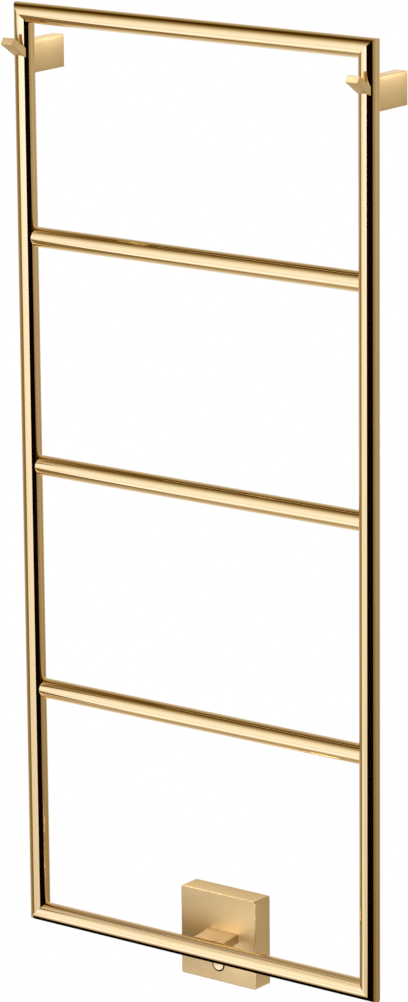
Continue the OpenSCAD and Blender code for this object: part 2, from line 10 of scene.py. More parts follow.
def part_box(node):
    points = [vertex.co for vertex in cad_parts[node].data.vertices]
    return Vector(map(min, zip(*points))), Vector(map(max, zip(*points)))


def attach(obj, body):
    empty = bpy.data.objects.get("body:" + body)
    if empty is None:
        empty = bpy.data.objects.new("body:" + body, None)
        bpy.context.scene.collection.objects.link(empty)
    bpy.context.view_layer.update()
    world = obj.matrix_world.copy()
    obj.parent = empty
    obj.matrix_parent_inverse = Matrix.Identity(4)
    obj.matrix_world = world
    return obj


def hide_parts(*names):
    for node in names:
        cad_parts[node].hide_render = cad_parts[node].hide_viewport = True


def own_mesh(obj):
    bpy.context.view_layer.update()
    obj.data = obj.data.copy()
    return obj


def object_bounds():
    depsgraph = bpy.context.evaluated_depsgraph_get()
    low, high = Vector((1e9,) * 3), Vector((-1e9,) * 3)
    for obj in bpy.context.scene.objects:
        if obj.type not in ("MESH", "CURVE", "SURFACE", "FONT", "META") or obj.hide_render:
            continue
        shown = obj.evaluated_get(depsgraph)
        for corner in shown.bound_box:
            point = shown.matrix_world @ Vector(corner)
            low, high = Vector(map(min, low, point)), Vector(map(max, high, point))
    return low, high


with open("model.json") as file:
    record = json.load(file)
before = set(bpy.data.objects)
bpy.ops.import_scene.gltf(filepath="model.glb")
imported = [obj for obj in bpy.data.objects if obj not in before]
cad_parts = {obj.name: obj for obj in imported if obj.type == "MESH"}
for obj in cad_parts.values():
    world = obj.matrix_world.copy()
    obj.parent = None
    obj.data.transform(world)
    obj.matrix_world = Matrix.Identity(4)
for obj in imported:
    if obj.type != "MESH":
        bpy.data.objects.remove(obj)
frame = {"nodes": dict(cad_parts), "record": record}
CAD_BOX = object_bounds()
MM = 0.001

# ---------------------------------------------------------------- sizes, from the frame


def span(node):
    """Lowest and highest corner of a node, as vectors."""
    lo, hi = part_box(node)
    return Vector(lo), Vector(hi)


def centre(node):
    lo, hi = span(node)
    return (lo + hi) / 2


tube_lo, tube_hi = span("top_tube")
TUBE_R = (tube_hi.z - tube_lo.z) / 2
TUBE_WALL = 1.5 * MM
TUBE_Y = centre("top_tube").y
TOP_Z = centre("top_tube").z
BOTTOM_Z = centre("bottom_tube").z
UPRIGHT_X = centre("right_upright").x
UPRIGHTS = {"left": -UPRIGHT_X, "right": UPRIGHT_X}

rung_lo, rung_hi = span("upper_rung")
RUNG_R = (rung_hi.z - rung_lo.z) / 2
RUNG_BACK = centre("upper_rung").y - TUBE_Y
RUNG_INSET = UPRIGHT_X - rung_hi.x
RUNGS = ["upper_rung", "middle_rung", "lower_rung"]

BRACKET_LO, BRACKET_HI = span("right_bracket")
PLATE_LO, PLATE_HI = span("right_wall_plate")
SLIDE_GAP = 0.3 * MM
ARM_GAP = 0.1 * MM

HOOK_SIZE = (15.5 * MM, 8.5 * MM)
HOOK_LEN = 35 * MM
HOOK_LIFT = 0.5 * MM
HOOK_RISE = math.radians(34)

ARM_LO, ARM_HI = span("box_arm")
ARM_T = 10 * MM
ARM_LIP = 3 * MM
ARM_SLOPE = math.radians(5.5)

BOX_LO, BOX_HI = span("box_cover")
BOX_WALL = 2 * MM
BOX_CORNER_R = 2 * MM
BOX_CENTRE = centre("box_cover")

BUTTON_LO, BUTTON_HI = span("push_button")
RING_LO, RING_HI = span("button_ring")
RING_R = 8.5 * MM
PRESS_GAP = 0.05 * MM

END_EASE = 0.3 * MM
LEAST_CORNER_R = 0.05 * MM
TUBE_STEPS = 25
ROUND_SIDES = 96
HOLE_SIDES = 48
SHARP_ANGLE = math.radians(32)

# ---------------------------------------------------------------- node helpers


def plug(tree, value, socket):
    """Links a socket to another one, or sets its value."""
    if value is None:
        return
    if isinstance(value, bpy.types.NodeSocket):
        tree.links.new(value, socket)
    else:
        socket.default_value = value


def add_node(tree, kind, *inputs, **settings):
    new = tree.nodes.new(kind)
    for key, value in settings.items():
        setattr(new, key, value)
    for place, value in enumerate(inputs):
        plug(tree, value, new.inputs[place])
    return new


def maths(tree, operation, *inputs):
    return add_node(tree, "ShaderNodeMath", *inputs, operation=operation).outputs[0]


def smooth_range(tree, value, low, high):
    """0 below low, 1 above high, and a soft step between them."""
    step = add_node(tree, "ShaderNodeMapRange", value, low, high, interpolation_type="SMOOTHSTEP")
    return step.outputs[0]


def colour_ramp(tree, value, stops):
    """A ramp through (place, colour) stops, places from 0 to 1."""
    ramp = add_node(tree, "ShaderNodeValToRGB", value)
    elements = ramp.color_ramp.elements
    elements[1].position = stops[-1][0]
    elements[1].color = (*stops[-1][1], 1)
    elements[0].position = stops[0][0]
    elements[0].color = (*stops[0][1], 1)
    for place, colour in stops[1:-1]:
        elements.new(place).color = (*colour, 1)
    return ramp.outputs[0]


# ---------------------------------------------------------------- camera and studio

CAMERA_AT = (3.0321, -4.0297, 0.8029)
CAMERA_TURN = math.radians(37.269)
CAMERA_PITCH = math.radians(14.189)
CAMERA_ROLL = math.radians(-0.556)
CAMERA_LENS = 172.8
CAMERA_SENSOR = 36
CAMERA_REACH = 50


def add_camera():
    data = bpy.data.cameras.new("camera")
    data.sensor_width = CAMERA_SENSOR
    data.lens = CAMERA_LENS
    data.clip_end = CAMERA_REACH
    camera = bpy.data.objects.new("camera", data)
    turn = Matrix.Rotation(CAMERA_TURN, 4, "Z") @ Matrix.Rotation(math.pi / 2 - CAMERA_PITCH, 4, "X")
    camera.matrix_world = Matrix.Translation(CAMERA_AT) @ turn @ Matrix.Rotation(CAMERA_ROLL, 4, "Z")
    bpy.context.collection.objects.link(camera)
    bpy.context.scene.camera = camera


# Brightness of the studio round the rack: (degrees from the front, +X side positive, level)
AROUND = [
    (-180, 0.55), (-130, 0.55), (-100, 0.48), (-82, 0.33), (-74, 0.23), (-66, 0.3), (-60, 0.6),
    (-53, 0.95), (-24, 0.98), (-4, 1.0), (30, 1.05), (44, 1.0), (60, 0.4), (74, 0.24),
    (88, 0.3), (100, 0.36), (112, 0.40), (128, 0.46), (142, 0.42), (156, 0.35), (180, 0.5),
]
# Share of that brightness that the uprights mirror, from their foot to their top:
# (degrees of elevation, share)
DOWN = [(-20, 0.72), (-18, 0.80), (-15, 0.93), (-12, 1.02), (-9.5, 1.13), (-8, 1.17)]
# Degrees from the front over which that share sets in
DOWN_FROM = (-40, -28)
# Brightness from the back (-180) by the floor (-90), the front (0) and the ceiling (90) to the back again
OVER = [
    (-180, 0.9), (-128, 0.85), (-112, 0.68), (-100, 0.6), (-85, 0.5), (-76, 0.43), (-69, 0.41),
    (-62, 0.47), (-55, 0.66), (-48, 0.95), (-40, 1.17), (-30, 1.2), (-12, 1.1), (10, 1.02), (24, 0.94),
    (34, 0.82), (45, 0.60), (57, 0.37), (69, 0.21), (78, 0.09), (88, 0.05), (98, 0.05), (106, 0.14),
    (118, 0.3), (135, 0.45), (149, 0.55), (180, 0.7),
]
# Level that the colour ramps count as full
TOP_LEVEL = 1.25
# Colour of the studio at each level, as a share of the top level: dim parts are warmer
WARMTH = [
    (0.0, (0.003, 0.001, 0.0)), (0.055, (0.069, 0.03, 0.001)), (0.21, (0.262, 0.185, 0.075)),
    (0.46, (0.578, 0.50, 0.38)), (0.8, (1.0, 1.0, 0.98)), (1.0, (1.25, 1.27, 1.5)),
]
# Elevation that the uprights mirror, and the degrees off it over which OVER takes AROUND's place
LEVEL_OF_UPRIGHTS = math.radians(-14)
UPRIGHT_BAND = (6, 11)
# Cards round the rack, seen only in its surfaces: left end and right end in plan, foot, top, level
CARDS = {
    "black_flag": ((0.37, -1.06), (0.386, -0.101), -1.45, 0.10, 0.0),
    "side_flag": ((-1.20, -0.30), (-0.65, -0.568), -1.30, -0.08, 0.24),
}
# Thin black strip under the bottom tube, a painted shade that the tube's underside mirrors in place of the
# shade below the rack: half length, front and back from the tube's axis, drop
FOOT_SHADE_STRIP = (0.237, -0.0135, 0.013, 0.0145)
FLOOR_R = 0.42
FLOOR_DROP = 0.22

# Places that the soft lights are set out from
ANCHORS = {
    "wall": Vector((0, 0, 0)),
    "left_hook": Vector((-UPRIGHT_X, TUBE_Y, 0)),
    "right_hook": Vector((UPRIGHT_X, TUBE_Y, 0)),
    "left_bracket": Vector((-UPRIGHT_X, 0, 0)),
    "right_bracket": Vector((UPRIGHT_X, 0, 0)),
    "box_top_edge": Vector((0, BOX_LO.y, BOX_HI.z)),
    "box_right_edge": Vector((BOX_HI.x, BOX_LO.y, BOX_CENTRE.z)),
    "right_of_arm": Vector(((ARM_HI.x + BOX_HI.x) / 2, BOX_LO.y, ARM_HI.z)),
    "arm_flank": Vector((ARM_HI.x, (TUBE_Y + TUBE_R + BOX_LO.y) / 2, ARM_HI.z)),
    "arm_top": Vector(((ARM_LO.x + ARM_HI.x) / 2, (TUBE_Y + BOX_LO.y) / 2, ARM_HI.z)),
    "bottom_tube": Vector((0, TUBE_Y, BOTTOM_Z)),
}
# Soft lights, each for a few pieces: name, anchor, place and aim from it, size, level, pieces
SOFT_LIGHTS = [
    ("top_left_back", "wall", (-0.78, 1.04, 0.35), (0, 0, -0.5), (0.9, 0.9), 1.25,
     ["left_bracket", "right_bracket", "box_arm", "box_cover"]),
    ("left_hook_high", "left_hook", (-1.85, -1.2, 2.25), (0, 0, 0), (1.7, 1.7), 1.3, ["left_hook"]),
    ("left_hook_side", "left_hook", (0.25, 0.3, -0.06), (0, 0, 0), (0.15, 0.15), 0.6, ["left_hook"]),
    ("right_hook_high", "right_hook", (-1.85, -1.2, 2.25), (0, 0, 0), (1.7, 1.7), 3.2, ["right_hook"]),
    ("right_hook_side", "right_hook", (0.25, 0.3, -0.06), (0, 0, 0), (0.15, 0.15), 0.25, ["right_hook"]),
    ("right_high", "wall", (0.85, -0.42, 0.72), (0, -0.08, 0.02), (0.3, 0.3), 8.0,
     ["left_hook", "right_hook"]),
    ("box_top_light", "box_top_edge", (-0.3, -0.03, 0.4), (0, 0, 0), (0.25, 0.15), 12.0, ["box_cover"]),
    ("box_edge_light", "box_right_edge", (0.22, -0.17, -0.07), (0, 0, 0), (0.12, 0.12), 8.0,
     ["box_cover", "box_arm"]),
    ("box_front_light", "right_of_arm", (-0.0257, -0.0338, -0.0269), (0, 0, -0.012), (0.024, 0.03), 4.7,
     ["box_cover"]),
    ("arm_side_light", "arm_flank", (0.0257, 0.0338, -0.0209), (0, 0, -0.006), (0.024, 0.03), 1.5,
     ["box_arm"]),
    ("arm_light", "arm_top", (-0.22, -0.06, 0.3), (0, 0, 0), (0.25, 0.25), 11.0, ["box_arm"]),
    ("left_bracket_glow", "left_bracket", (0.06, 0.022, 0.035), (0, -0.045, 0.012), (0.06, 0.06), 2.8,
     ["left_bracket"]),
    ("right_bracket_glow", "right_bracket", (0.06, 0.022, 0.035), (0, -0.045, 0.012), (0.06, 0.06), 2.8,
     ["right_bracket"]),
    ("foot_light", "bottom_tube", (-0.2, -0.15, 0.26), (-0.2, 0, 0), (0.7, 0.17), 0.38, ["bottom_tube"]),
    ("foot_fill", "bottom_tube", (-0.14, 0.0105, 0.2), (-0.14, 0, 0), (0.7, 0.13), 0.2, ["bottom_tube"]),
]
# Lights so close to their piece that only the floor may shade them
CLOSE_LIGHTS = ["box_front_light", "arm_side_light"]


def ramp_stops(stops, low, high):
    """Grey ramp stops for (degrees, level) pairs, with low and high degrees at the ramp's ends."""
    return [((angle - low) / (high - low), (level / TOP_LEVEL,) * 3) for angle, level in stops]


def build_world():
    """Studio seen in reflections; the camera and matt surfaces get plain white."""
    world = bpy.data.worlds.new("studio")
    world.use_nodes = True
    tree = world.node_tree
    tree.nodes.clear()
    way = add_node(tree, "ShaderNodeTexCoord").outputs["Generated"]
    x, y, z = add_node(tree, "ShaderNodeSeparateXYZ", way).outputs
    front = maths(tree, "MULTIPLY", y, -1.0)
    around = maths(tree, "ARCTAN2", x, front)
    over = maths(tree, "ARCTAN2", z, front)
    levels = []
    for angle, stops in ((around, AROUND), (over, OVER)):
        place = maths(tree, "MULTIPLY_ADD", angle, 1 / math.tau, 0.5)
        levels.append(colour_ramp(tree, place, ramp_stops(stops, -180, 180)))
    height = maths(tree, "ARCSINE", z)
    low, high = DOWN[0][0], DOWN[-1][0]
    drop = add_node(tree, "ShaderNodeMapRange", height, math.radians(low), math.radians(high)).outputs[0]
    fall = maths(tree, "MULTIPLY", colour_ramp(tree, drop, ramp_stops(DOWN, low, high)), TOP_LEVEL)
    turned = smooth_range(tree, around, *map(math.radians, DOWN_FROM))
    fall = maths(tree, "MULTIPLY_ADD", maths(tree, "SUBTRACT", fall, 1.0), turned, 1.0)
    levels[0] = add_node(tree, "ShaderNodeVectorMath", levels[0], fall, operation="MULTIPLY").outputs[0]
    off_level = maths(tree, "ABSOLUTE", maths(tree, "SUBTRACT", height, LEVEL_OF_UPRIGHTS))
    share = smooth_range(tree, off_level, *map(math.radians, UPRIGHT_BAND))
    mix = add_node(tree, "ShaderNodeMix", data_type="RGBA")
    plug(tree, share, mix.inputs["Factor"])
    plug(tree, levels[0], mix.inputs[6])
    plug(tree, levels[1], mix.inputs[7])
    warm = colour_ramp(tree, mix.outputs[2], WARMTH)
    studio = add_node(tree, "ShaderNodeBackground", warm, 1.0)
    white = add_node(tree, "ShaderNodeBackground", (1, 1, 1, 1), 1.0)
    path = add_node(tree, "ShaderNodeLightPath")
    plain = maths(tree, "MAXIMUM", path.outputs["Is Camera Ray"], path.outputs["Is Diffuse Ray"])
    both = add_node(tree, "ShaderNodeMixShader", plain, studio.outputs[0], white.outputs[0])
    add_node(tree, "ShaderNodeOutputWorld", both.outputs[0])
    bpy.context.scene.world = world


def add_soft_light(name, at, aim, size, level, pieces, shaded_by=None):
    """Soft box that glows at a level on some pieces only; shaded_by lists what may shade them."""
    data = bpy.data.lights.new(name, "AREA")
    data.shape = "RECTANGLE"
    data.size, data.size_y = size
    data.energy = level * math.pi * size[0] * size[1]
    light = bpy.data.objects.new(name, data)
    way = Vector(aim) - Vector(at)
    light.matrix_world = Matrix.Translation(at) @ way.to_track_quat("-Z", "Y").to_matrix().to_4x4()
    light.visible_camera = False
    bpy.context.collection.objects.link(light)
    lit = bpy.data.collections.new(name + "_lights")
    for piece in pieces:
        lit.objects.link(piece)
    light.light_linking.receiver_collection = lit
    if shaded_by is not None:
        shades = bpy.data.collections.new(name + "_shades")
        for piece in shaded_by:
            shades.objects.link(piece)
        light.light_linking.blocker_collection = shades


def add_soft_lights():
    for name, anchor, at, aim, size, level, nodes in SOFT_LIGHTS:
        start = ANCHORS[anchor]
        pieces = [bpy.data.objects[node + "_skin"] for node in nodes]
        shades = [bpy.data.objects["floor"]] if name in CLOSE_LIGHTS else None
        add_soft_light(name, start + Vector(at), start + Vector(aim), size, level, pieces, shades)


def add_card(name, corners, level):
    """Glowing or black card that shows in the rack's surfaces and nowhere else."""
    mesh = bpy.data.meshes.new(name)
    mesh.from_pydata(corners, [], [tuple(range(len(corners)))])
    material = bpy.data.materials.new(name)
    material.use_nodes = True
    tree = material.node_tree
    tree.nodes.clear()
    tone = colour_ramp(tree, level / TOP_LEVEL, WARMTH)
    glow = add_node(tree, "ShaderNodeEmission", tone, 1.0)
    add_node(tree, "ShaderNodeOutputMaterial", glow.outputs[0])
    mesh.materials.append(material)
    card = bpy.data.objects.new(name, mesh)
    card.visible_camera = False
    card.visible_diffuse = False
    card.visible_shadow = False
    bpy.context.collection.objects.link(card)


def add_cards():
    for name, (left, right, foot, top, level) in CARDS.items():
        add_card(name, [(*left, foot), (*right, foot), (*right, top), (*left, top)], level)
    half, front, back, drop = FOOT_SHADE_STRIP
    z = BOTTOM_Z - drop
    front += TUBE_Y
    back += TUBE_Y
    # Black strip that the bottom tube mirrors as painted shade from below the rack
    add_card("foot_shade_strip", [(-half, front, z), (half, front, z), (half, back, z), (-half, back, z)], 0.0)


def add_floor():
    """Pale disc below the rack, which hangs clear of it."""
    form = bmesh.new()
    bmesh.ops.create_circle(form, cap_ends=True, radius=FLOOR_R, segments=ROUND_SIDES)
    bmesh.ops.translate(form, verts=form.verts, vec=(0, TUBE_Y, CAD_BOX[0][2] - FLOOR_DROP))
    mesh = bpy.data.meshes.new("floor")
    form.to_mesh(mesh)
    form.free()
    mesh.materials.append(moulded_material("pale_floor", *FLOOR_FINISH))
    disc = bpy.data.objects.new("floor", mesh)
    disc.visible_glossy = False
    bpy.context.collection.objects.link(disc)


def build_studio():
    add_camera()
    build_world()
    add_cards()
    add_floor()
    view = bpy.context.scene.view_settings
    view.view_transform = "Standard"
    view.look = "None"


# ---------------------------------------------------------------- materials


# Metal finishes: darker and lighter tone, range of roughness, grains per metre, depth of the grain
METALS = {
    "polished_gold": ((0.985, 0.785, 0.49), (1.0, 0.80, 0.50), (0.02, 0.03), 60.0, 0.002 * MM),
    "satin_gold": ((0.71, 0.533, 0.288), (0.75, 0.563, 0.308), (0.44, 0.5), 4200.0, 0.0012 * MM),
    "button_gold": ((0.98, 0.80, 0.52), (1.0, 0.83, 0.55), (0.1, 0.13), 3000.0, 0.001 * MM),
    "zinc_steel": ((0.55, 0.56, 0.56), (0.66, 0.67, 0.68), (0.28, 0.4), 1800.0, 0.004 * MM),
}
# Moulded finishes: tone, roughness and level of gloss
MOULDED = {
    "black_plastic": ((0.004, 0.0035, 0.003), 0.6, 0.06),
    "seal_rubber": ((0.02, 0.02, 0.02), 0.75, 0.5),
    "board_green": ((0.012, 0.12, 0.045), 0.3, 0.5),
    "relay_blue": ((0.03, 0.1, 0.4), 0.35, 0.5),
    "terminal_green": ((0.05, 0.3, 0.1), 0.4, 0.5),
    "terminal_white": ((0.75, 0.72, 0.64), 0.4, 0.5),
    "wire_brown": ((0.12, 0.045, 0.02), 0.4, 0.5),
    "wire_blue": ((0.03, 0.1, 0.45), 0.4, 0.5),
    "wire_earth": ((0.2, 0.42, 0.03), 0.4, 0.5),
    "cable_silicone": ((0.36, 0.06, 0.03), 0.55, 0.5),
    "cable_black": ((0.025, 0.025, 0.025), 0.5, 0.5),
}
FLOOR_FINISH = ((0.86, 0.86, 0.85), 0.7, 0.5)
# Scales of the patterns, per metre: clouds and smears on metal, clouds and grain on mouldings
METAL_CLOUD = 18.0
METAL_SMEAR = 90.0
MOULDED_CLOUD = 140.0
MOULDED_GRAIN = 2600.0
MOULDED_GRAIN_DEPTH = 0.02 * MM
# Range that a noise mostly keeps to, and how far its clouds darken and smooth a moulding
NOISE_RANGE = (0.3, 0.7)
CLOUD_TONE = 0.92
CLOUD_ROUGHNESS = 0.9


def new_material(name):
    material = bpy.data.materials.new(name)
    material.use_nodes = True
    tree = material.node_tree
    return material, tree, tree.nodes["Principled BSDF"]


def object_noise(tree, scale, detail=3.0):
    """Noise on the piece's own coordinates; scale is per metre."""
    place = add_node(tree, "ShaderNodeTexCoord").outputs["Object"]
    noise = add_node(tree, "ShaderNodeTexNoise", place)
    noise.inputs["Scale"].default_value = scale
    noise.inputs["Detail"].default_value = detail
    return noise.outputs["Fac"]


def add_bump(tree, shader, height, distance):
    bump = add_node(tree, "ShaderNodeBump")
    plug(tree, height, bump.inputs["Height"])
    bump.inputs["Distance"].default_value = distance
    bump.inputs["Strength"].default_value = 1.0
    tree.links.new(bump.outputs[0], shader.inputs["Normal"])


def vary(tree, value, low, high):
    """Spreads a noise over low to high."""
    return add_node(tree, "ShaderNodeMapRange", value, *NOISE_RANGE, low, high).outputs[0]


def vary_colour(tree, value, dark, light):
    mix = add_node(tree, "ShaderNodeMix", data_type="RGBA")
    plug(tree, vary(tree, value, 0.0, 1.0), mix.inputs["Factor"])
    mix.inputs[6].default_value = (*dark, 1)
    mix.inputs[7].default_value = (*light, 1)
    return mix.outputs[2]


def metal_material(name, dark, light, roughness, grain, grain_depth):
    """Metal finish with a fine grain and faint cloudy changes of tone and gloss."""
    material, tree, shader = new_material(name)
    shader.inputs["Metallic"].default_value = 1.0
    cloud = object_noise(tree, METAL_CLOUD)
    plug(tree, vary_colour(tree, cloud, dark, light), shader.inputs["Base Color"])
    smear = object_noise(tree, METAL_SMEAR, detail=4.0)
    plug(tree, vary(tree, smear, *roughness), shader.inputs["Roughness"])
    add_bump(tree, shader, object_noise(tree, grain, detail=2.0), grain_depth)
    return material


def moulded_material(name, colour, roughness, gloss):
    """Moulded finish with faint clouds of tone and gloss and a very fine grain."""
    material, tree, shader = new_material(name)
    shader.inputs["Specular IOR Level"].default_value = gloss
    cloud = object_noise(tree, MOULDED_CLOUD)
    dark = [part * CLOUD_TONE for part in colour]
    plug(tree, vary_colour(tree, cloud, dark, colour), shader.inputs["Base Color"])
    plug(tree, vary(tree, cloud, roughness * CLOUD_ROUGHNESS, roughness), shader.inputs["Roughness"])
    add_bump(tree, shader, object_noise(tree, MOULDED_GRAIN), MOULDED_GRAIN_DEPTH)
    return material


def make_materials():
    made = {name: metal_material(name, *finish) for name, finish in METALS.items()}
    made.update({name: moulded_material(name, *finish) for name, finish in MOULDED.items()})
    return made


# ---------------------------------------------------------------- mesh helpers


def piece_from_mesh(name, mesh, slot, body, *nodes):
    """Puts a finished mesh in the scene as a piece that stands for CAD nodes."""
    mesh.shade_smooth()
    mesh.set_sharp_from_angle(angle=SHARP_ANGLE)
    mesh.materials.clear()
    mesh.materials.append(MATERIALS[slot])
    piece = bpy.data.objects.new(name, mesh)
    bpy.context.collection.objects.link(piece)
    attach(piece, body)
    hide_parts(*nodes)
    return piece


def mesh_from_rings(name, rings, looped=False):
    """Closed skin over rings of points, with a cap at each end or, when looped, back to the first ring."""
    form = bmesh.new()
    rows = [[form.verts.new(point) for point in ring] for ring in rings]
    count = len(rows[0])
    after = rows[1:] + rows[:1] if looped else rows[1:]
    for row, following in zip(rows, after):
        for i in range(count):
            j = (i + 1) % count
            form.faces.new((row[i], row[j], following[j], following[i]))
    if not looped:
        form.faces.new(rows[0])
        form.faces.new(reversed(rows[-1]))
    bmesh.ops.recalc_face_normals(form, faces=form.faces)
    mesh = bpy.data.meshes.new(name)
    form.to_mesh(mesh)
    form.free()
    return mesh


def rounded_outline(width, height, radius, corner_steps=5, flat_steps=8):
    """Points of a rounded rectangle, the same number whatever its size."""
    corners = [(1, 1, 0), (-1, 1, 90), (-1, -1, 180), (1, -1, 270)]
    points = []
    for index, (sx, sy, start) in enumerate(corners):
        middle = Vector((sx * (width / 2 - radius), sy * (height / 2 - radius)))
        for step in range(corner_steps + 1):
            angle = math.radians(start + 90 * step / corner_steps)
            points.append(middle + radius * Vector((math.cos(angle), math.sin(angle))))
        nx, ny, _ = corners[(index + 1) % 4]
        goal = Vector((nx * (width / 2 - radius), ny * (height / 2 - radius)))
        angle = math.radians(start + 90)
        goal += radius * Vector((math.cos(angle), math.sin(angle)))
        last = points[-1]
        points += [last.lerp(goal, step / flat_steps) for step in range(1, flat_steps)]
    return points


def eased_end(width, height, radius, end, ease, way, steps=4):
    """Outlines that round a bar's end over, as (distance along, outline) pairs; way is 1 or -1, outwards."""
    rings = []
    for step in range(steps + 1):
        angle = math.pi / 2 * step / steps
        inset = ease * (1 - math.cos(angle))
        along = end - way * ease * (1 - math.sin(angle))
        corner_r = max(radius - inset, LEAST_CORNER_R)
        outline = rounded_outline(width - 2 * inset, height - 2 * inset, corner_r)
        rings.append((along, outline))
    return rings


def cut_away(mesh, cutters):
    """Takes closed cutter meshes out of a mesh."""
    work = bpy.data.objects.new("work", mesh)
    bpy.context.collection.objects.link(work)
    tools = []
    for cutter in cutters:
        tool = bpy.data.objects.new("tool", cutter)
        bpy.context.collection.objects.link(tool)
        cut = work.modifiers.new("cut", "BOOLEAN")
        cut.operation = "DIFFERENCE"
        cut.solver = "EXACT"
        cut.object = tool
        tools.append(tool)
    result = finished_mesh(work, mesh.name)
    for helper in [work, *tools]:
        bpy.data.objects.remove(helper)
    return result


def finished_mesh(work, name):
    """The mesh that an object's modifiers give, as a plain mesh."""
    shown = work.evaluated_get(bpy.context.evaluated_depsgraph_get())
    mesh = bpy.data.meshes.new_from_object(shown)
    mesh.name = name
    return mesh


def rod_mesh(start, end, radius, sides=HOLE_SIDES):
    """A plain cylinder between two points, used to drill holes."""
    start, end = Vector(start), Vector(end)
    turn = (end - start).to_track_quat("Z", "Y").to_matrix()
    rings = []
    for point in (start, end):
        circle = [Vector((math.cos(a), math.sin(a), 0)) * radius
                  for a in (math.tau * i / sides for i in range(sides))]
        rings.append([point + turn @ spot for spot in circle])
    return mesh_from_rings("rod", rings)


def turned_mesh(name, profile, at, looped=False):
    """Shape turned about the Y direction through a point; profile is a row of (radius, y) pairs."""
    rings = []
    for radius, y in profile:
        rings.append([Vector((at.x + radius * math.cos(a), y, at.z + radius * math.sin(a)))
                      for a in (math.tau * i / ROUND_SIDES for i in range(ROUND_SIDES))])
    return mesh_from_rings(name, rings, looped)


# ---------------------------------------------------------------- geometry nodes


def start_tree(name, sizes):
    """Geometry-nodes tree with an input for each size, and Place, Turn and Material inputs."""
    tree = bpy.data.node_groups.new(name, "GeometryNodeTree")
    tree.interface.new_socket(name="Geometry", in_out="OUTPUT", socket_type="NodeSocketGeometry")
    kinds = [(size, "Float") for size in sizes]
    kinds += [("Place", "Vector"), ("Turn", "Vector"), ("Material", "Material")]
    for label, kind in kinds:
        tree.interface.new_socket(name=label, in_out="INPUT", socket_type="NodeSocket" + kind)
    return tree, add_node(tree, "NodeGroupInput").outputs


def finish_tree(tree, inputs, shape):
    """Turns the shape, puts it in its place and gives it its material."""
    placed = add_node(tree, "GeometryNodeTransform", shape)
    plug(tree, inputs["Place"], placed.inputs["Translation"])
    plug(tree, inputs["Turn"], placed.inputs["Rotation"])
    real = add_node(tree, "GeometryNodeRealizeInstances", placed.outputs[0])
    coated = add_node(tree, "GeometryNodeSetMaterial", real.outputs[0])
    plug(tree, inputs["Material"], coated.inputs["Material"])
    add_node(tree, "NodeGroupOutput", coated.outputs[0])


def set_inputs(modifier, **values):
    """Sets a geometry-nodes modifier's inputs by the names of its tree's sockets."""
    names = {item.name: item.identifier for item in modifier.node_group.interface.items_tree
             if item.in_out == "INPUT"}
    for label, value in values.items():
        modifier[names[label.replace("_", " ").title()]] = value


def shaped_by_nodes(tree, node, slot, wall_thickness=None, **inputs):
    """Piece that stands for a node, made by geometry nodes and, where it is hollow, given a wall."""
    holder = bpy.data.objects.new("holder", bpy.data.meshes.new("holder"))
    bpy.context.collection.objects.link(holder)
    shape = holder.modifiers.new("shape", "NODES")
    shape.node_group = tree
    set_inputs(shape, material=MATERIALS[slot], **inputs)
    if wall_thickness:
        wall = holder.modifiers.new("wall", "SOLIDIFY")
        wall.thickness = wall_thickness
        wall.offset = -1
    mesh = finished_mesh(holder, node + "_skin")
    bpy.data.objects.remove(holder)
    return piece_from_mesh(node + "_skin", mesh, slot, "rack", node)


# ---------------------------------------------------------------- tubes


def tube_tree(name, end_shift):
    """Straight tube along X whose ends follow end_shift(tree, inputs, y, z)."""
    tree, inputs = start_tree(name, ("Half Length", "Radius", "Post Radius", "Set Back", "Inset"))
    line = add_node(tree, "GeometryNodeCurvePrimitiveLine", (-1, 0, 0), (1, 0, 0))
    parts = add_node(tree, "GeometryNodeResampleCurve", line.outputs[0])
    parts.inputs["Count"].default_value = TUBE_STEPS
    circle = add_node(tree, "GeometryNodeCurvePrimitiveCircle")
    circle.inputs["Resolution"].default_value = ROUND_SIDES
    plug(tree, inputs["Radius"], circle.inputs["Radius"])
    sleeve = add_node(tree, "GeometryNodeCurveToMesh", parts.outputs[0], circle.outputs[0])
    spot = add_node(tree, "GeometryNodeInputPosition").outputs[0]
    x, y, z = add_node(tree, "ShaderNodeSeparateXYZ", spot).outputs
    reach = maths(tree, "ADD", inputs["Half Length"], end_shift(tree, inputs, y, z))
    moved = add_node(tree, "ShaderNodeCombineXYZ", maths(tree, "MULTIPLY", x, reach), y, z)
    shaped = add_node(tree, "GeometryNodeSetPosition", sleeve.outputs[0])
    plug(tree, moved.outputs[0], shaped.inputs["Position"])
    finish_tree(tree, inputs, shaped.outputs[0])
    return tree


def mitred_end(tree, inputs, y, z):
    """A 45 degree cut: longest on the outer side, which is +Z before the turn."""
    return z


def saddled_end(tree, inputs, y, z):
    """Ends on the round face of the uprights, which stand in front of the rung."""
    depth = maths(tree, "ADD", y, inputs["Set Back"])
    left = maths(tree, "SUBTRACT", maths(tree, "POWER", inputs["Post Radius"], 2.0),
                 maths(tree, "MULTIPLY", depth, depth))
    face = maths(tree, "SQRT", maths(tree, "MAXIMUM", left, 0.0))
    return maths(tree, "MULTIPLY", maths(tree, "MAXIMUM", face, inputs["Inset"]), -1.0)


def add_tube(tree, node, slot, place, turn=(0, 0, 0), **sizes):
    shaped_by_nodes(tree, node, slot, TUBE_WALL, place=place, turn=turn, **sizes)


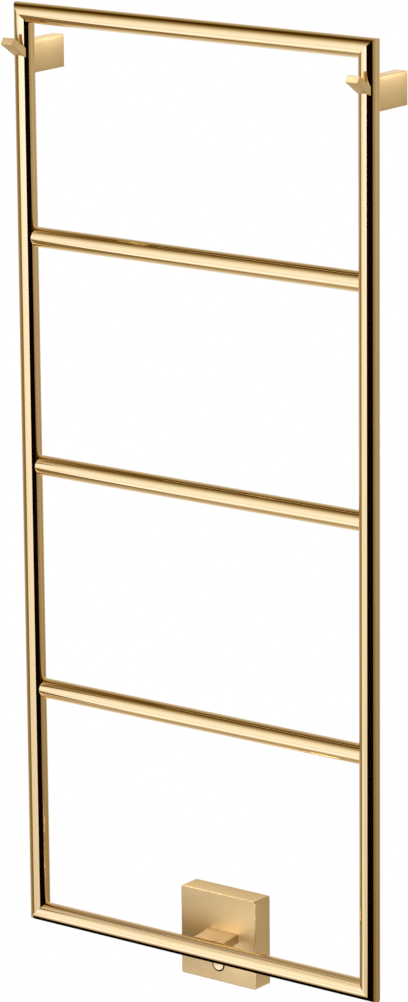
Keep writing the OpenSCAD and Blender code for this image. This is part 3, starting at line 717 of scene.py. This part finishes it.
def build_tubes():
    mitred = tube_tree("mitred_tube", mitred_end)
    half_width = UPRIGHT_X
    half_height = (TOP_Z - BOTTOM_Z) / 2
    middle_z = (TOP_Z + BOTTOM_Z) / 2
    quarter = math.pi / 2
    add_tube(mitred, "top_tube", "polished_gold", (0, TUBE_Y, TOP_Z),
             half_length=half_width, radius=TUBE_R)
    add_tube(mitred, "bottom_tube", "polished_gold", (0, TUBE_Y, BOTTOM_Z), (math.pi, 0, 0),
             half_length=half_width, radius=TUBE_R)
    for side, x in UPRIGHTS.items():
        turn = (0, quarter if x > 0 else -quarter, 0)
        add_tube(mitred, side + "_upright", "polished_gold", (x, TUBE_Y, middle_z), turn,
                 half_length=half_height, radius=TUBE_R)
    saddled = tube_tree("saddled_tube", saddled_end)
    for node in RUNGS:
        add_tube(saddled, node, "polished_gold", centre(node), half_length=UPRIGHT_X, radius=RUNG_R,
                 post_radius=TUBE_R, set_back=RUNG_BACK, inset=RUNG_INSET)


# ---------------------------------------------------------------- brackets, hooks, arm


def build_bracket(side, x):
    """Flat bar from the back of an upright to the wall, hollow where it slides over its plate."""
    node = side + "_bracket"
    size = BRACKET_HI - BRACKET_LO
    edge = 0.8 * MM
    outline = rounded_outline(size.x, size.z, edge)
    rings = [[Vector((x + u, TUBE_Y + math.sqrt(TUBE_R ** 2 - u * u), v)) for u, v in outline]]
    for along, ring in eased_end(size.x, size.z, edge, 0, END_EASE, 1):
        rings.append([Vector((x + u, along, v)) for u, v in ring])
    plate = PLATE_HI - PLATE_LO
    pocket_corner_r = 0.3 * MM
    pocket = rounded_outline(plate.x + 2 * SLIDE_GAP, plate.z + 2 * SLIDE_GAP, pocket_corner_r)
    for y in (0, PLATE_LO.y - SLIDE_GAP):
        rings.append([Vector((x + u, y, v)) for u, v in pocket])
    mesh = mesh_from_rings(node + "_skin", rings)
    screw_r = 2 * MM
    screw_y = PLATE_LO.y / 2
    hole = rod_mesh((x, screw_y, BRACKET_LO.z - MM), (x, screw_y, -plate.z / 2), screw_r + PRESS_GAP)
    piece_from_mesh(node + "_skin", cut_away(mesh, [hole]), "satin_gold", "rack", node)


def build_hook(side, x):
    """Flat peg that rises forwards from an upright, with its edges eased."""
    node = side + "_hook"
    width, thick = HOOK_SIZE
    edge = 0.6 * MM
    ahead = Vector((0, -math.cos(HOOK_RISE), math.sin(HOOK_RISE)))
    upward = Vector((0, math.sin(HOOK_RISE), math.cos(HOOK_RISE)))
    base = Vector((x, TUBE_Y, HOOK_LIFT))

    def spot(u, v, along):
        return base + Vector((u, 0, 0)) + upward * v + ahead * along

    def on_tube(u, v):
        return (math.sqrt(TUBE_R ** 2 - u * u) + v * math.sin(HOOK_RISE)) / math.cos(HOOK_RISE)

    rings = [[spot(u, v, on_tube(u, v)) for u, v in rounded_outline(width, thick, edge)]]
    for along, outline in eased_end(width, thick, edge, HOOK_LEN, edge, 1):
        rings.append([spot(u, v, along) for u, v in outline])
    piece_from_mesh(node + "_skin", mesh_from_rings(node + "_skin", rings), "satin_gold", "rack", node)


def build_arm():
    """Flat bar that leaves the bottom tube's crest and climbs to the back plate."""
    width = ARM_HI.x - ARM_LO.x
    middle_x = (ARM_HI.x + ARM_LO.x) / 2
    edge = 0.7 * MM
    along = Vector((0, math.cos(ARM_SLOPE), math.sin(ARM_SLOPE)))
    upward = Vector((0, -math.sin(ARM_SLOPE), math.cos(ARM_SLOPE)))
    crest = Vector((middle_x, TUBE_Y, BOTTOM_Z + TUBE_R))

    def on_tube(v):
        rise = TUBE_R * math.sin(ARM_SLOPE)
        inside = rise ** 2 - v * v - 2 * TUBE_R * v * math.cos(ARM_SLOPE)
        return max(ARM_LIP, math.sqrt(max(inside, 0)) - rise)

    def at_plate(v):
        return (ARM_HI.y - TUBE_Y + v * math.sin(ARM_SLOPE)) / math.cos(ARM_SLOPE)

    rings = []
    for reach in (on_tube, at_plate):
        ring = []
        for u, w in rounded_outline(width, ARM_T, edge):
            v = w - ARM_T / 2
            ring.append(crest + Vector((u, 0, 0)) + upward * v + along * reach(v))
        rings.append(ring)
    piece_from_mesh("box_arm_skin", mesh_from_rings("box_arm_skin", rings), "satin_gold", "rack", "box_arm")


def arm_slot():
    """Cutter for the arm's way through the cover."""
    width = ARM_HI.x - ARM_LO.x + 2 * ARM_GAP
    middle_x = (ARM_HI.x + ARM_LO.x) / 2
    along = Vector((0, math.cos(ARM_SLOPE), math.sin(ARM_SLOPE)))
    upward = Vector((0, -math.sin(ARM_SLOPE), math.cos(ARM_SLOPE)))
    start = Vector((middle_x, TUBE_Y, BOTTOM_Z + TUBE_R)) - upward * ARM_T / 2
    rings = []
    edge = 0.8 * MM
    for reach in (ARM_LIP, -TUBE_Y / math.cos(ARM_SLOPE) - 3 * BOX_WALL):
        outline = rounded_outline(width, ARM_T + 2 * ARM_GAP, edge)
        rings.append([start + Vector((u, 0, 0)) + upward * v + along * reach for u, v in outline])
    return mesh_from_rings("slot", rings)


# ---------------------------------------------------------------- control box


def box_ring(outline, y):
    return [Vector((BOX_CENTRE.x + u, y, BOX_CENTRE.z + v)) for u, v in outline]


def build_cover():
    """Square shell with an eased front edge, a slot for the arm and a hole for the button."""
    width = BOX_HI.x - BOX_LO.x
    height = BOX_HI.z - BOX_LO.z
    front_ease = 1.3 * MM
    front_steps = 6
    inner = rounded_outline(width - 2 * BOX_WALL, height - 2 * BOX_WALL, BOX_CORNER_R / 2)
    rings = [box_ring(inner, BOX_LO.y + BOX_WALL), box_ring(inner, BOX_HI.y)]
    for y, outline in reversed(eased_end(width, height, BOX_CORNER_R, BOX_HI.y, END_EASE, 1)):
        rings.append(box_ring(outline, y))
    for y, outline in eased_end(width, height, BOX_CORNER_R, BOX_LO.y, front_ease, -1, front_steps):
        rings.append(box_ring(outline, y))
    mesh = mesh_from_rings("box_cover_skin", rings)
    ring = centre("button_ring")
    front, back = (ring.x, BOX_LO.y - MM, ring.z), (ring.x, RING_HI.y, ring.z)
    cutters = [arm_slot(), rod_mesh(front, back, RING_R + PRESS_GAP, ROUND_SIDES)]
    screws_lo, screws_hi = span("cover_screws")
    screw_r = 1.5 * MM
    y = centre("cover_screws").y
    for x in (screws_lo.x + screw_r, screws_hi.x - screw_r):
        below, above = (x, y, BOX_LO.z - MM), (x, y, BOX_LO.z + 2 * BOX_WALL)
        cutters.append(rod_mesh(below, above, screw_r + PRESS_GAP))
    piece_from_mesh("box_cover_skin", cut_away(mesh, cutters), "satin_gold", "rack", "box_cover")


def build_button():
    """Dished push button with a flange and a stem behind it."""
    face_r = 7 * MM
    flange_r = (BUTTON_HI.x - BUTTON_LO.x) / 2
    flange_y = RING_HI.y + SLIDE_GAP
    flange_t = 1.2 * MM
    stem_r = 2 * MM
    ease = 0.6 * MM
    dish = 0.35 * MM
    dish_steps = 12
    ease_steps = 6
    face = BUTTON_LO.y
    profile = []
    for step in range(1, dish_steps + 1):
        share = step / dish_steps
        profile.append(((face_r - ease) * share, face + dish * (1 - share ** 2)))
    for step in range(1, ease_steps + 1):
        angle = math.pi / 2 * step / ease_steps
        profile.append((face_r - ease + ease * math.sin(angle), face + ease * (1 - math.cos(angle))))
    profile += [(face_r, flange_y), (flange_r, flange_y), (flange_r, flange_y + flange_t),
                (stem_r, flange_y + flange_t), (stem_r, BUTTON_HI.y - END_EASE),
                (stem_r - END_EASE, BUTTON_HI.y)]
    mesh = turned_mesh("push_button_skin", profile, centre("push_button"))
    piece_from_mesh("push_button_skin", mesh, "button_gold", "button", "push_button")


def build_ring():
    """Ring pressed into the cover, flush with its front and open in the middle."""
    inner = 7.3 * MM
    flange = (RING_HI.x - RING_LO.x) / 2
    flange_y = BOX_LO.y + BOX_WALL
    front = RING_LO.y
    ease = 0.25 * MM
    profile = [(inner, RING_HI.y), (inner, front + ease), (inner + ease, front), (RING_R - ease, front),
               (RING_R, front + ease), (RING_R, flange_y), (flange, flange_y), (flange, RING_HI.y)]
    mesh = turned_mesh("button_ring_skin", profile, centre("button_ring"), looped=True)
    piece_from_mesh("button_ring_skin", mesh, "black_plastic", "rack", "button_ring")


def coil_tree():
    """Coil of round wire along Z, before its turn."""
    turn_steps = 32
    wire_sides = 12
    tree, inputs = start_tree("coil", ("Turns", "Radius", "Wire Radius", "Length"))
    coil = add_node(tree, "GeometryNodeCurveSpiral")
    coil.inputs["Resolution"].default_value = turn_steps
    plug(tree, inputs["Turns"], coil.inputs["Rotations"])
    plug(tree, inputs["Radius"], coil.inputs["Start Radius"])
    plug(tree, inputs["Radius"], coil.inputs["End Radius"])
    plug(tree, inputs["Length"], coil.inputs["Height"])
    wire = add_node(tree, "GeometryNodeCurvePrimitiveCircle")
    wire.inputs["Resolution"].default_value = wire_sides
    plug(tree, inputs["Wire Radius"], wire.inputs["Radius"])
    sweep = add_node(tree, "GeometryNodeCurveToMesh", coil.outputs[0], wire.outputs[0])
    sweep.inputs["Fill Caps"].default_value = True
    finish_tree(tree, inputs, sweep.outputs[0])
    return tree


def build_spring():
    """Coil spring behind the button."""
    lo, hi = span("button_spring")
    turns = 4.0
    wire_r = 0.3 * MM
    gap = 0.02 * MM
    length = hi.y - lo.y
    start = Vector(((lo.x + hi.x) / 2, lo.y + wire_r + gap, (lo.z + hi.z) / 2))
    spring = shaped_by_nodes(coil_tree(), "button_spring", "zinc_steel", turns=turns,
                             radius=(hi.x - lo.x) / 2 - wire_r, wire_radius=wire_r,
                             length=length - 2 * wire_r - 2 * gap, place=start, turn=(-math.pi / 2, 0, 0))
    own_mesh(spring)


# ---------------------------------------------------------------- carried-over nodes


def coat_frame_nodes():
    """Gives every CAD node the finish of its material slot."""
    for row in frame["record"]["subparts"]:
        mesh = frame["nodes"][row["node"]].data
        mesh.materials.clear()
        mesh.materials.append(MATERIALS[row["material_slot"]])


MATERIALS = make_materials()
build_studio()
coat_frame_nodes()
build_tubes()
for side_name, side_x in UPRIGHTS.items():
    build_bracket(side_name, side_x)
    build_hook(side_name, side_x)
build_arm()
build_cover()
build_ring()
build_button()
build_spring()
add_soft_lights()
